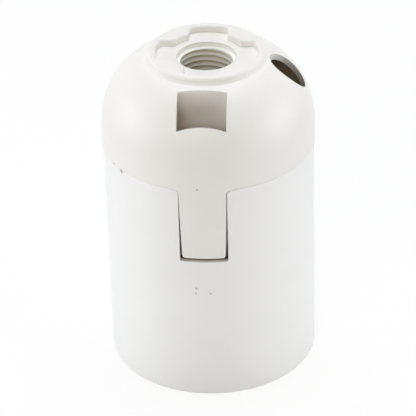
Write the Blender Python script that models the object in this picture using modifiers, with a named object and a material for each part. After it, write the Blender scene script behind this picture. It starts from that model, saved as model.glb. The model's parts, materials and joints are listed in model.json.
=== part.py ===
"""Snap-together plastic lamp holder for a large Edison-screw lamp, standing on its open end.

Every size below is in millimetres. The frame is +Z up along the holder's axis, with the origin at
the centre of the casing's open rim. The latch tongues and the windows face -Y and +Y, and the
small cable hole is on the +X shoulder.
"""
import math

import bmesh
import bpy
from mathutils import Matrix

MM = 0.001
OBJECT_NAME = "lamp_holder"

# Roundness of the turned pieces
FACETS = 48
SMALL_FACETS = 16
SHARP_ANGLE = math.radians(32)
MERGE = 1e-6
FLAT_ANGLE = math.radians(0.1)

# Fits
SEAT_GAP = 0.3
RIM_CLEARANCE = 0.6
SPIGOT_CLEARANCE = 0.4

# Casing, the plain skirt
CASING_RADIUS = 18.0
CASING_WALL = 1.7
CASING_HEIGHT = 41.2
RIM_ROUND = 0.4
SHELF_DROP = 11.2
SHELF_THICKNESS = 1.5
SLOT_WIDTH = 8.1
SLOT_DEPTH = 13.9
SLOT_BEHIND = 0.7
RIB_WIDTH = 1.2
RIB_ANGLES = (45, 135, 225, 315)
KEY_WIDTH = 2.4
KEY_HEIGHT = 1.1
KEY_ANGLES = (0, 180)

# Cap, the domed cover
CAP_OVERHANG = 0.2
CAP_WALL = 0.9
SPIGOT_WALL = 1.2
SHOULDER_THICKNESS = 1.5
DOME_START = 1.6
DOME_RISE = 15.55
DOME_POWER = 2.56
DOME_STEPS = 11
BOSS_RADIUS = 10.0
BOSS_STAND = 1.1
BOSS_ROUND = 0.45
BOSS_FLOOR_THICKNESS = 1.5
RECESS_DEPTH = 1.2
RECESS_RADIUS = 6.5
ARM_WIDTH = 6.65
ARM_FLARE = 0.12
ARM_REACH = 8.65
ENTRY_RADIUS = 5.0
ENTRY_DEPTH = 0.9
THREAD_CORE_RADIUS = 4.5
NECK_WALL = 2.1
NECK_LENGTH = 8.0
WINDOW_WIDTH = 8.15
WINDOW_INSET = 2.2
WINDOW_BOSS_GAP = 1.25
WINDOW_WALL = 1.2
CABLE_HOLE_BOSS_GAP = 0.6
CABLE_HOLE_EDGE_GAP = 1.7
CABLE_HOLE_LEDGE = 9.2

# Latch tongues of the cap
TONGUE_THICKNESS = 1.8
TONGUE_TOP_GAP = 0.2
TONGUE_SIDE_GAP = 0.43
TONGUE_END_GAP = 0.76
TONGUE_CORNER = 0.6
HOOK_REACH = 1.0
HOOK_HEIGHT = 1.3
HOOK_WIDTH = 6.0

# Sleeve with the coarse lamp thread
THREAD_PITCH = 3.629
THREAD_DEPTH = 1.15
THREAD_FADE = 1.6
THREAD_LEVELS_PER_TURN = 6
SLEEVE_WALL = 1.0
SLEEVE_ROOM = 2.0
SLEEVE_INSET = 5.0
SLEEVE_LEAD_IN = 1.8
SLEEVE_FACETS = 36
FLANGE_THICKNESS = 1.5
CONTACT_ROOM = 8.7

# Contact carrier
CARRIER_THICKNESS = 4.5
BARRIER_THICKNESS = 1.6
BARRIER_END_GAP = 0.35
BARRIER_HEIGHT = 5.4
GUIDE_THICKNESS = 1.2
GUIDE_WIDTH = 7.0
GUIDE_HEIGHT = 5.0
STOP_RADIUS = 2.0
STOP_HEIGHT = 1.4
SCREW_WELL_FLOOR = 1.2

# Terminals
TERMINAL_INSET = 6.4
STRAP_WIDTH = 4.6
STRAP_THICKNESS = 1.2
STRAP_OVERRUN = 12
SCREW_STRAP_OVERRUN = 22
RIVET_SPREAD = 45
SCREW_RADIUS = 1.5
SCREW_HEAD_RADIUS = 2.9
SCREW_HEAD_HEIGHT = 2.0
SCREW_SLOT_WIDTH = 0.8
SCREW_SLOT_DEPTH = 1.0
PLATE_LENGTH = 5.2
PLATE_WIDTH = 6.0
PLATE_THICKNESS = 1.0
CLAMP_TRAVEL = 1.5
RIVET_RADIUS = 1.2
RIVET_HEAD_RADIUS = 1.7
RIVET_HEAD_HEIGHT = 0.6
RIVET_PLAY = 0.5

# Spring contacts
LEAF_THICKNESS = 0.5
LEAF_WIDTH = 4.5
TAB_HALF = 2.1
CENTRE_DROP = 2.45
CENTRE_HALF = 2.0
BUTTON_RADIUS = 1.3
BUTTON_DROP = 0.6
SIDE_LEG_INSET = 1.3
SIDE_LEG_DROP = 6.4
SIDE_FOOT_REACH = 1.5

# Finishes: colour, roughness, metallic
WHITE_CAP = ((0.85, 0.84, 0.81), 0.45, 0.0)
WHITE_CASING = ((0.87, 0.87, 0.86), 0.5, 0.0)
WHITE_INNER = ((0.82, 0.81, 0.78), 0.55, 0.0)
BRASS = ((0.78, 0.6, 0.3), 0.35, 1.0)
BRONZE = ((0.76, 0.52, 0.3), 0.3, 1.0)
STEEL = ((0.72, 0.71, 0.69), 0.3, 1.0)

# Sizes that follow from the ones above. Those in capitals follow the piece that they sit in
casing_inner = CASING_RADIUS - CASING_WALL
slot_bottom = CASING_HEIGHT - SLOT_DEPTH
shelf_bottom = CASING_HEIGHT - SHELF_DROP
shelf_top = shelf_bottom + SHELF_THICKNESS
sleeve_outer = casing_inner - SLEEVE_ROOM
THREAD_MAJOR_RADIUS = sleeve_outer - SLEEVE_WALL
shelf_inner = sleeve_outer + RIM_CLEARANCE
rim_radius = casing_inner - RIM_CLEARANCE
TERMINAL_CIRCLE = rim_radius - TERMINAL_INSET
SIDE_LEG_RADIUS = THREAD_MAJOR_RADIUS - SIDE_LEG_INSET
flange_bottom = shelf_top + SEAT_GAP
flange_top = flange_bottom + FLANGE_THICKNESS
carrier_bottom = flange_top + SEAT_GAP
carrier_top = carrier_bottom + CARRIER_THICKNESS

cap_radius = CASING_RADIUS + CAP_OVERHANG
cap_inner = cap_radius - CAP_WALL
cap_bottom = CASING_HEIGHT + SEAT_GAP
spigot_outer = casing_inner - SPIGOT_CLEARANCE
spigot_inner = spigot_outer - SPIGOT_WALL
spigot_bottom = carrier_top + SEAT_GAP
dome_base = CASING_HEIGHT + DOME_START
window_front = cap_radius - WINDOW_INSET
WINDOW_DEPTH = window_front - BOSS_RADIUS - WINDOW_BOSS_GAP
window_back = window_front - WINDOW_DEPTH
BARRIER_LENGTH = 2 * (window_back - WINDOW_WALL - BARRIER_END_GAP)
CABLE_HOLE_RADIUS = (cap_radius - CABLE_HOLE_EDGE_GAP - BOSS_RADIUS - CABLE_HOLE_BOSS_GAP) / 2
CABLE_HOLE_INSET = CABLE_HOLE_EDGE_GAP + CABLE_HOLE_RADIUS
tongue_inner = cap_radius - TONGUE_THICKNESS
tongue_bottom = slot_bottom + TONGUE_END_GAP

strap_bottom = carrier_top + SEAT_GAP
strap_top = strap_bottom + STRAP_THICKNESS
plate_bottom = strap_top + SEAT_GAP + CLAMP_TRAVEL
plate_top = plate_bottom + PLATE_THICKNESS
screw_seat = plate_top + SEAT_GAP
screw_tip = carrier_bottom + SCREW_WELL_FLOOR + SEAT_GAP + CLAMP_TRAVEL
rivet_top_seat = strap_top + SEAT_GAP
tab_top = carrier_bottom - SEAT_GAP
tab_middle = tab_top - LEAF_THICKNESS / 2
rivet_bottom_seat = tab_top - LEAF_THICKNESS - RIVET_PLAY


def dome_height(radius, wall=0.0):
    """Height of the dome's surface at a radius, at a depth of wall inside its outer face."""
    share = min(radius / (cap_radius - wall), 1.0)
    return dome_base + (DOME_RISE - wall) * (1 - share ** DOME_POWER) ** (1 / DOME_POWER)


def dome_radius(height, wall=0.0):
    """Radius of the dome's surface at a height."""
    share = max(height - dome_base, 0.0) / (DOME_RISE - wall)
    return (cap_radius - wall) * (1 - share ** DOME_POWER) ** (1 / DOME_POWER)


boss_foot = dome_height(BOSS_RADIUS)
boss_top = boss_foot + BOSS_STAND
recess_floor = boss_top - RECESS_DEPTH
neck_bottom = recess_floor - NECK_LENGTH


def arc(radius, start, end, steps, centre=(0.0, 0.0)):
    """Points on an arc, with both ends, from one angle to another in degrees."""
    points = []
    for step in range(steps + 1):
        angle = math.radians(start + (end - start) * step / steps)
        points.append((centre[0] + radius * math.cos(angle), centre[1] + radius * math.sin(angle)))
    return points


def circle(radius, centre=(0.0, 0.0), steps=SMALL_FACETS):
    """Points round a full circle, without a repeated end."""
    return arc(radius, 0, 360, steps, centre)[:-1]


def clear_scene():
    for old in list(bpy.data.objects):
        bpy.data.objects.remove(old, do_unlink=True)


def collection(name):
    group = bpy.data.collections.new(name)
    bpy.context.scene.collection.children.link(group)
    return group


def add_object(name, data):
    """New object for a mesh or a curve, in the collection of tools until it is finished."""
    item = bpy.data.objects.new(name, data)
    tools.objects.link(item)
    item.display_type = "WIRE"
    item.hide_render = True
    return item


def turned(name, outline, steps=FACETS, closed=True):
    """Solid turned about Z. The outline is (radius, height) pairs, down the outer side first."""
    mesh = bpy.data.meshes.new(name)
    verts = [(radius * MM, 0.0, height * MM) for radius, height in outline]
    edges = [(i, i + 1) for i in range(len(verts) - 1)]
    if closed:
        edges.append((len(verts) - 1, 0))
    mesh.from_pydata(verts, edges, [])
    item = add_object(name, mesh)
    screw = item.modifiers.new("turn", "SCREW")
    screw.axis = "Z"
    screw.angle = math.tau
    screw.steps = steps
    screw.render_steps = steps
    screw.use_merge_vertices = True
    screw.merge_threshold = MERGE
    return item


def evaluated_mesh(item):
    """Mesh of an object with its modifiers, or of a filled curve, with loose caps welded."""
    graph = bpy.context.evaluated_depsgraph_get()
    return bpy.data.meshes.new_from_object(item.evaluated_get(graph), depsgraph=graph)


def weld(mesh):
    """Join loose caps to their walls, and clear the inner edges of flat faces."""
    shape = bmesh.new()
    shape.from_mesh(mesh)
    bmesh.ops.remove_doubles(shape, verts=shape.verts, dist=MERGE)
    bmesh.ops.dissolve_limit(shape, angle_limit=FLAT_ANGLE, verts=shape.verts, edges=shape.edges)
    bmesh.ops.recalc_face_normals(shape, faces=shape.faces)
    shape.to_mesh(mesh)
    shape.free()


PLANES = {
    "XY": Matrix.Identity(4),
    "XZ": Matrix.Rotation(math.pi / 2, 4, "X"),
}


def slab(name, outlines, low, high, plane="XY"):
    """Flat outlines, the later ones holes, extruded from low to high across their plane.

    In plane XY the outline is (x, y) and the slab runs from z low to high. In plane XZ it is
    (x, z), and the slab runs from y low to high.
    """
    curve = bpy.data.curves.new(name, "CURVE")
    curve.dimensions = "2D"
    curve.fill_mode = "BOTH"
    curve.extrude = (high - low) / 2 * MM
    for points in outlines:
        spline = curve.splines.new("POLY")
        spline.points.add(len(points) - 1)
        for place, (x, y) in zip(spline.points, points):
            place.co = (x * MM, y * MM, 0.0, 1.0)
        spline.use_cyclic_u = True
    guide = add_object(name + "_outline", curve)
    middle = (low + high) / 2 * MM
    shift = Matrix.Translation((0, 0, middle)) if plane == "XY" else Matrix.Translation((0, middle, 0))
    mesh = evaluated_mesh(guide)
    bpy.data.objects.remove(guide, do_unlink=True)
    mesh.transform(shift @ PLANES[plane])
    weld(mesh)
    return add_object(name, mesh)


def box(name, low, high):
    """Block between two corners."""
    outline = [(low[0], low[1]), (high[0], low[1]), (high[0], high[1]), (low[0], high[1])]
    return slab(name, [outline], low[2], high[2])


def turn_to(item, degrees):
    """Swing a tool about the holder's axis."""
    item.data.transform(Matrix.Rotation(math.radians(degrees), 4, "Z"))
    return item


def combine(item, tool, operation):
    change = item.modifiers.new(operation.lower() + "_" + tool.name, "BOOLEAN")
    change.operation = operation
    change.solver = "EXACT"
    change.object = tool


def cut(item, tool):
    combine(item, tool, "DIFFERENCE")


def join(item, tool):
    combine(item, tool, "UNION")


def keep_inside(item, tool):
    combine(item, tool, "INTERSECT")


def finish(item, look, origin=(0.0, 0.0, 0.0)):
    """Fix an object's shape, put its origin where given, shade it and add it to the model."""
    mesh = evaluated_mesh(item)
    mesh.transform(Matrix.Translation([-value * MM for value in origin]))
    mesh.shade_smooth()
    mesh.set_sharp_from_angle(angle=SHARP_ANGLE)
    name = item.name
    item.name = name + "_form"
    part = bpy.data.objects.new(name, mesh)
    part.location = [value * MM for value in origin]
    mesh.name = name
    colour, roughness, metallic = look
    finish_material = bpy.data.materials.new(name)
    finish_material.use_nodes = True
    shader = finish_material.node_tree.nodes["Principled BSDF"]
    shader.inputs["Base Color"].default_value = (*colour, 1.0)
    shader.inputs["Roughness"].default_value = roughness
    shader.inputs["Metallic"].default_value = metallic
    mesh.materials.clear()
    mesh.materials.append(finish_material)
    model.objects.link(part)
    return part


def casing():
    """Plain skirt with an inner shelf, centring ribs, two keys and two open-topped latch slots."""
    outline = [
        (CASING_RADIUS - RIM_ROUND / 2, CASING_HEIGHT),
        (CASING_RADIUS, CASING_HEIGHT - RIM_ROUND / 2),
        (CASING_RADIUS, RIM_ROUND),
        (CASING_RADIUS - RIM_ROUND * 0.3, RIM_ROUND * 0.3),
        (CASING_RADIUS - RIM_ROUND, 0.0),
        (casing_inner + RIM_ROUND, 0.0),
        (casing_inner, RIM_ROUND),
        (casing_inner, shelf_bottom),
        (shelf_inner, shelf_bottom),
        (shelf_inner, shelf_top),
        (casing_inner, shelf_top),
        (casing_inner, CASING_HEIGHT),
    ]
    item = turned("casing", outline)
    overlap = CASING_WALL / 2
    for angle in RIB_ANGLES:
        rib = box("rib", (shelf_inner, -RIB_WIDTH / 2, SLEEVE_INSET),
                  (casing_inner + overlap, RIB_WIDTH / 2, shelf_bottom + SHELF_THICKNESS / 2))
        join(item, turn_to(rib, angle))
    for angle in KEY_ANGLES:
        key = box("key", (casing_inner - KEY_HEIGHT, -KEY_WIDTH / 2, shelf_top - SHELF_THICKNESS / 2),
                  (casing_inner + overlap, KEY_WIDTH / 2, carrier_top - SEAT_GAP))
        join(item, turn_to(key, angle))
    for side in (1, -1):
        near, far = sorted((side * (casing_inner - SLOT_BEHIND), side * (CASING_RADIUS + 1)))
        slot = box("slot", (-SLOT_WIDTH / 2, near, slot_bottom),
                   (SLOT_WIDTH / 2, far, CASING_HEIGHT + 1))
        cut(item, slot)
    return finish(item, WHITE_CASING)


def dome_points(wall, low_radius, high_radius):
    """Points up the dome from a wide radius to a narrow one, evenly spread along its curve."""
    start = (high_radius / (cap_radius - wall)) ** (DOME_POWER / 2)
    end = (low_radius / (cap_radius - wall)) ** (DOME_POWER / 2)
    first = math.acos(min(start, 1.0))
    last = math.acos(end)
    points = []
    for step in range(DOME_STEPS + 1):
        angle = first + (last - first) * step / DOME_STEPS
        radius = (cap_radius - wall) * math.cos(angle) ** (2 / DOME_POWER)
        height = dome_base + (DOME_RISE - wall) * math.sin(angle) ** (2 / DOME_POWER)
        points.append((radius, height))
    return points


def cap_shell():
    """Dome, boss, threaded neck and spigot as one turned wall, with the tongues still a full ring."""
    outer = dome_points(0.0, BOSS_RADIUS, cap_radius)
    under_boss = recess_floor - BOSS_FLOOR_THICKNESS
    inner_edge = dome_radius(under_boss, CAP_WALL)
    inner = dome_points(CAP_WALL, inner_edge, cap_inner)
    neck_outer = ENTRY_RADIUS + NECK_WALL - (ENTRY_RADIUS - THREAD_CORE_RADIUS)
    entry_floor = recess_floor - ENTRY_DEPTH
    outline = [(THREAD_CORE_RADIUS, entry_floor - (ENTRY_RADIUS - THREAD_CORE_RADIUS) / 2)]
    outline += [(ENTRY_RADIUS, entry_floor), (ENTRY_RADIUS, boss_top)]
    outline += [(BOSS_RADIUS - BOSS_ROUND, boss_top)]
    outline += [(BOSS_RADIUS - BOSS_ROUND * 0.3, boss_top - BOSS_ROUND * 0.3)]
    outline += [(BOSS_RADIUS, boss_top - BOSS_ROUND)]
    outline += outer[::-1]
    outline += [(cap_radius, tongue_bottom), (tongue_inner, tongue_bottom), (tongue_inner, spigot_bottom)]
    outline += [(spigot_inner, spigot_bottom), (spigot_inner, cap_bottom + SHOULDER_THICKNESS)]
    outline += [(dome_radius(cap_bottom + SHOULDER_THICKNESS, CAP_WALL), cap_bottom + SHOULDER_THICKNESS)]
    outline += [point for point in inner if point[1] > cap_bottom + SHOULDER_THICKNESS + 0.2]
    outline += [(neck_outer, under_boss), (neck_outer, neck_bottom), (THREAD_CORE_RADIUS, neck_bottom)]
    return turned("cap", outline)


def cap_core():
    """Solid that lies half way into the cap's wall, to trim what is joined inside it."""
    depth = CAP_WALL / 2
    crown = dome_points(depth, BOSS_RADIUS, cap_radius - depth)
    inside_spigot = spigot_outer - SPIGOT_WALL / 2
    shaft_bottom = spigot_bottom + SEAT_GAP
    outline = [(0.0, crown[-1][1])] + crown[::-1]
    outline += [(cap_radius - depth, cap_bottom + depth), (inside_spigot, cap_bottom + depth)]
    outline += [(inside_spigot, shaft_bottom), (0.0, shaft_bottom)]
    return turned("cap_core", outline, closed=False)


def cross_outline():
    """Round recess with four arms that end on an arc and widen a little to their roots."""
    tip = math.degrees(math.asin(ARM_WIDTH / 2 / ARM_REACH))
    root = math.degrees(math.asin((ARM_WIDTH + ARM_FLARE) / 2 / RECESS_RADIUS))
    points = []
    for quarter in (0, 90, 180, 270):
        points += arc(ARM_REACH, quarter - tip, quarter + tip, 4)
        points += arc(RECESS_RADIUS, quarter + root, quarter + 90 - root, 3)
    return points


def tongue_outline():
    """Front view of a latch tongue: it narrows to its free end, with round corners there."""
    top = SLOT_WIDTH / 2 - TONGUE_TOP_GAP
    low = SLOT_WIDTH / 2 - TONGUE_SIDE_GAP
    bottom = tongue_bottom
    root = cap_bottom + SHOULDER_THICKNESS
    points = [(top, root), (top, CASING_HEIGHT)]
    points += arc(TONGUE_CORNER, 0, -90, 3, (low - TONGUE_CORNER, bottom + TONGUE_CORNER))
    points += arc(TONGUE_CORNER, -90, -180, 3, (-low + TONGUE_CORNER, bottom + TONGUE_CORNER))
    points += [(-top, CASING_HEIGHT), (-top, root)]
    return points


def around_tongues():
    """Everything outside the spigot and below the cap's edge, except the two latch tongues."""
    low = tongue_bottom - 1
    outline = [(cap_radius + 1, cap_bottom), (cap_radius + 1, low), (spigot_outer, low),
               (spigot_outer, cap_bottom)]
    waste = turned("around_tongues", outline)
    cut(waste, slab("tongues", [tongue_outline()], -cap_radius - 2, cap_radius + 2, "XZ"))
    return waste


def latch_hook(side):
    """Catch that snaps under the casing's shelf: flat on top, sloping below."""
    top = shelf_bottom - SEAT_GAP
    inner = window_front - HOOK_REACH
    outer = tongue_inner + TONGUE_THICKNESS / 3
    profile = [(inner, top), (outer, top), (outer, top - HOOK_HEIGHT), (window_front, top - HOOK_HEIGHT),
               (inner, top - HOOK_HEIGHT * 0.4)]
    hook = slab("hook", [profile], -HOOK_WIDTH / 2, HOOK_WIDTH / 2, "XZ")
    return turn_to(hook, side * 90)


def cap():
    """Domed cover with its boss, cross recess, threaded neck, windows, cable hole and tongues."""
    item = cap_shell()
    cut(item, around_tongues())
    core = cap_core()
    for side in (1, -1):
        near, far = sorted((side * (window_back - WINDOW_WALL), side * (cap_radius - CAP_WALL / 4)))
        shaft = box("window_shaft", (-WINDOW_WIDTH / 2 - WINDOW_WALL, near, spigot_bottom),
                    (WINDOW_WIDTH / 2 + WINDOW_WALL, far, boss_top))
        keep_inside(shaft, core)
        join(item, shaft)
    for side in (1, -1):
        near, far = sorted((side * window_back, side * window_front))
        cut(item, box("window", (-WINDOW_WIDTH / 2, near, spigot_bottom - 1),
                      (WINDOW_WIDTH / 2, far, boss_top + 1)))
    for side in (1, -1):
        join(item, latch_hook(side))
    cut(item, slab("cross", [cross_outline()], recess_floor, boss_top + 1))
    hole_place = (cap_radius - CABLE_HOLE_INSET, 0.0)
    hole_outline = circle(CABLE_HOLE_RADIUS, hole_place, 2 * SMALL_FACETS)
    cut(item, slab("cable_hole", [hole_outline], boss_top - CABLE_HOLE_LEDGE, boss_top + 3))
    return finish(item, WHITE_CAP)


def thread_radius(angle, height, thread_bottom, thread_top):
    """Inner radius of the sleeve: a round-crested wave along the helix, fading at both ends."""
    phase = height / THREAD_PITCH - angle / math.tau
    wave = (1 - math.cos(math.tau * phase)) / 2
    near_end = min(height - thread_bottom, thread_top - height)
    fade = min(max(near_end / THREAD_FADE, 0.0), 1.0)
    return THREAD_MAJOR_RADIUS - THREAD_DEPTH * wave * fade


def sleeve_rings():
    """Rings of the sleeve's surface: down the outer side, then up through the thread."""
    bottom = SLEEVE_INSET
    mouth = THREAD_MAJOR_RADIUS + SLEEVE_WALL * 0.4
    thread_bottom = bottom + SLEEVE_LEAD_IN
    thread_top = flange_top - CONTACT_ROOM
    rings = [
        lambda angle: (rim_radius, flange_top),
        lambda angle: (rim_radius, flange_bottom),
        lambda angle: (sleeve_outer, flange_bottom),
        lambda angle: (sleeve_outer, bottom),
        lambda angle: (mouth, bottom),
    ]
    levels = round((thread_top - thread_bottom) / THREAD_PITCH * THREAD_LEVELS_PER_TURN)
    for level in range(levels + 1):
        height = thread_bottom + (thread_top - thread_bottom) * level / levels
        rings.append(lambda angle, height=height:
                     (thread_radius(angle, height, thread_bottom, thread_top), height))
    rings.append(lambda angle: (THREAD_MAJOR_RADIUS, flange_top))
    return rings


def lamp_sleeve():
    """Flanged sleeve, lofted ring by ring because the thread's section turns with its height."""
    rings = sleeve_rings()
    verts = []
    for ring in rings:
        for step in range(SLEEVE_FACETS):
            angle = math.tau * step / SLEEVE_FACETS
            radius, height = ring(angle)
            verts.append((radius * math.cos(angle) * MM, radius * math.sin(angle) * MM, height * MM))
    faces = []
    for ring in range(len(rings)):
        this, following = ring * SLEEVE_FACETS, (ring + 1) % len(rings) * SLEEVE_FACETS
        for step in range(SLEEVE_FACETS):
            after = (step + 1) % SLEEVE_FACETS
            faces.append((this + after, this + step, following + step, following + after))
    mesh = bpy.data.meshes.new("lamp_sleeve")
    mesh.from_pydata(verts, [], faces)
    weld(mesh)
    item = add_object("lamp_sleeve", mesh)
    cut_key_notches(item, flange_bottom, flange_top)
    return finish(item, WHITE_INNER)


def cut_key_notches(item, low, high):
    """Notches in a rim for the casing's keys."""
    for angle in KEY_ANGLES:
        notch = box("key_notch", (casing_inner - KEY_HEIGHT - SEAT_GAP, -KEY_WIDTH / 2 - SEAT_GAP, low - 1),
                    (casing_inner + 1, KEY_WIDTH / 2 + SEAT_GAP, high + 1))
        cut(item, turn_to(notch, angle))


def rivet_places():
    """Names, angles and feeding straps of the three contact rivets."""
    return {
        "centre_contact": -RIVET_SPREAD,
        "side_contact_1": 180 - RIVET_SPREAD,
        "side_contact_2": 180 + RIVET_SPREAD,
    }


def on_circle(degrees):
    angle = math.radians(degrees)
    return (TERMINAL_CIRCLE * math.cos(angle), TERMINAL_CIRCLE * math.sin(angle))


def contact_carrier():
    """Round base that carries the contacts, with a barrier between the poles."""
    outline = [
        (0.0, carrier_top), (rim_radius - RIM_ROUND, carrier_top), (rim_radius, carrier_top - RIM_ROUND),
        (rim_radius, carrier_bottom), (STOP_RADIUS, carrier_bottom),
        (STOP_RADIUS, carrier_bottom - STOP_HEIGHT), (0.0, carrier_bottom - STOP_HEIGHT),
    ]
    item = turned("contact_carrier", outline, closed=False)
    root = carrier_top - CARRIER_THICKNESS / 2
    join(item, box("barrier", (-BARRIER_THICKNESS / 2, -BARRIER_LENGTH / 2, root),
                   (BARRIER_THICKNESS / 2, BARRIER_LENGTH / 2, carrier_top + BARRIER_HEIGHT)))
    guide_inner = TERMINAL_CIRCLE + PLATE_LENGTH / 2 + SEAT_GAP
    for angle in (0, 180):
        guide = box("guide", (guide_inner, -GUIDE_WIDTH / 2, root),
                    (guide_inner + GUIDE_THICKNESS, GUIDE_WIDTH / 2, carrier_top + GUIDE_HEIGHT))
        join(item, turn_to(guide, angle))
        well = circle(SCREW_RADIUS + 2 * SEAT_GAP, on_circle(angle))
        cut(item, slab("screw_well", [well], carrier_bottom + SCREW_WELL_FLOOR, carrier_top + 1))
    for angle in rivet_places().values():
        hole = circle(RIVET_RADIUS + SEAT_GAP, on_circle(angle))
        cut(item, slab("rivet_hole", [hole], carrier_bottom - 1, carrier_top + 1))
    cut_key_notches(item, carrier_bottom, carrier_top)
    return finish(item, WHITE_INNER)


def strap(name, screw_angle, rivet_angles, start, end):
    """Flat brass strap on a part of a ring, with holes for its screw and its rivets."""
    inner = TERMINAL_CIRCLE - STRAP_WIDTH / 2
    outer = TERMINAL_CIRCLE + STRAP_WIDTH / 2
    steps = round((end - start) / 6)
    outline = arc(outer, start, end, steps) + arc(inner, end, start, steps)
    holes = [circle(SCREW_RADIUS + SEAT_GAP, on_circle(screw_angle))]
    holes += [circle(RIVET_RADIUS + SEAT_GAP, on_circle(angle)) for angle in rivet_angles]
    return finish(slab(name, [outline] + holes, strap_bottom, strap_top), BRASS)


def straps():
    places = rivet_places()
    strap("live_strap", 0, [places["centre_contact"]],
          places["centre_contact"] - STRAP_OVERRUN, SCREW_STRAP_OVERRUN)
    strap("neutral_strap", 180, [places["side_contact_1"], places["side_contact_2"]],
          places["side_contact_1"] - STRAP_OVERRUN, places["side_contact_2"] + STRAP_OVERRUN)


def clamp_plate(name, angle):
    """Pressure plate that the terminal screw carries down on to the wire."""
    half_length, half_width = PLATE_LENGTH / 2, PLATE_WIDTH / 2
    outline = [(TERMINAL_CIRCLE - half_length, -half_width), (TERMINAL_CIRCLE + half_length, -half_width),
               (TERMINAL_CIRCLE + half_length, half_width), (TERMINAL_CIRCLE - half_length, half_width)]
    hole = circle(SCREW_RADIUS + SEAT_GAP, on_circle(0))
    item = turn_to(slab(name, [outline, hole], plate_bottom, plate_top), angle)
    return finish(item, STEEL, (*on_circle(angle), plate_bottom))


def terminal_screw(name, angle):
    """Slotted cheese-head screw."""
    tip = screw_tip
    top = screw_seat + SCREW_HEAD_HEIGHT
    edge = SCREW_HEAD_HEIGHT / 6
    outline = [(0.0, top), (SCREW_HEAD_RADIUS - edge, top), (SCREW_HEAD_RADIUS, top - edge),
               (SCREW_HEAD_RADIUS, screw_seat), (SCREW_RADIUS, screw_seat),
               (SCREW_RADIUS, tip + SCREW_RADIUS / 3), (SCREW_RADIUS * 0.7, tip), (0.0, tip)]
    item = turned(name, outline, SMALL_FACETS, closed=False)
    cut(item, box("driver_slot", (-SCREW_HEAD_RADIUS - 1, -SCREW_SLOT_WIDTH / 2, top - SCREW_SLOT_DEPTH),
                  (SCREW_HEAD_RADIUS + 1, SCREW_SLOT_WIDTH / 2, top + 1)))
    part = finish(item, STEEL)
    part.location = [value * MM for value in (*on_circle(angle), 0.0)]
    return part


def rivet(name, angle):
    """Rivet through a contact's tab, the carrier and a strap."""
    head = RIVET_HEAD_RADIUS
    top = rivet_top_seat + RIVET_HEAD_HEIGHT
    bottom = rivet_bottom_seat - RIVET_HEAD_HEIGHT
    outline = [(0.0, top), (head * 0.7, top), (head, top - RIVET_HEAD_HEIGHT * 0.6), (head, rivet_top_seat),
               (RIVET_RADIUS, rivet_top_seat), (RIVET_RADIUS, rivet_bottom_seat), (head, rivet_bottom_seat),
               (head, bottom + RIVET_HEAD_HEIGHT * 0.6), (head * 0.7, bottom), (0.0, bottom)]
    part = finish(turned(name, outline, SMALL_FACETS, closed=False), BRASS)
    part.location = [value * MM for value in (*on_circle(angle), 0.0)]
    return part


def strip_outline(path, thickness):
    """Both sides of a bent strip, from the middle line of its section."""
    left, right = [], []
    for index, (x, y) in enumerate(path):
        before = path[max(index - 1, 0)]
        after = path[min(index + 1, len(path) - 1)]
        across = (before[1] - after[1], after[0] - before[0])
        length = math.hypot(*across)
        first = (path[index][0] - before[0], path[index][1] - before[1])
        share = 1.0
        if 0 < index < len(path) - 1:
            share = abs(first[0] * across[1] - first[1] * across[0]) / (math.hypot(*first) * length)
        offset = thickness / 2 / max(share, 0.7) / length
        left.append((x + across[0] * offset, y + across[1] * offset))
        right.append((x - across[0] * offset, y - across[1] * offset))
    return left + right[::-1]


def leaf(name, path):
    """Bent spring strip with a clearance hole for its rivet."""
    item = slab(name, [strip_outline(path, LEAF_THICKNESS)], -LEAF_WIDTH / 2, LEAF_WIDTH / 2, "XZ")
    hole = circle(RIVET_RADIUS + SEAT_GAP, (TERMINAL_CIRCLE, 0.0))
    cut(item, slab("leaf_hole", [hole], rivet_bottom_seat, carrier_bottom))
    return item


def place_leaf(item, angle, hinge_radius):
    """Turn a finished leaf form to its angle, with its origin on the bend that it flexes about."""
    part = finish(item, BRONZE, (hinge_radius, 0.0, tab_middle))
    turn = math.radians(angle)
    part.rotation_euler = (0.0, 0.0, turn)
    part.location = (hinge_radius * math.cos(turn) * MM, hinge_radius * math.sin(turn) * MM, tab_middle * MM)
    return part


def centre_contact():
    """Leaf that runs from its rivet to the axis and ends in a pressed button."""
    bend = TERMINAL_CIRCLE - TAB_HALF
    low = tab_middle - CENTRE_DROP
    path = [(TERMINAL_CIRCLE + TAB_HALF, tab_middle), (bend, tab_middle),
            (CENTRE_HALF, low), (-CENTRE_HALF, low), (-CENTRE_HALF - 1, low + 0.6)]
    item = leaf("centre_contact", path)
    face = low - LEAF_THICKNESS / 2
    button = turned("button", [(0.0, low), (BUTTON_RADIUS, low), (BUTTON_RADIUS, face - BUTTON_DROP / 3),
                               (BUTTON_RADIUS * 0.6, face - BUTTON_DROP), (0.0, face - BUTTON_DROP)],
                    SMALL_FACETS, closed=False)
    join(item, button)
    return place_leaf(item, rivet_places()["centre_contact"], bend)


def side_contact(name):
    """Leaf that hangs beside the lamp's metal shell, with a curled foot."""
    leg = SIDE_LEG_RADIUS
    foot = tab_middle - SIDE_LEG_DROP
    path = [(TERMINAL_CIRCLE - TAB_HALF, tab_middle), (leg - 0.6, tab_middle), (leg, tab_middle - 0.6),
            (leg, foot), (leg - 0.4, foot - 0.7), (leg - SIDE_FOOT_REACH / 2 - 0.2, foot - 0.95),
            (leg - SIDE_FOOT_REACH, foot - 0.5)]
    return place_leaf(leaf(name, path), rivet_places()[name], leg - 0.6)


clear_scene()
model = collection(OBJECT_NAME)
tools = collection("cutters")

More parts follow.
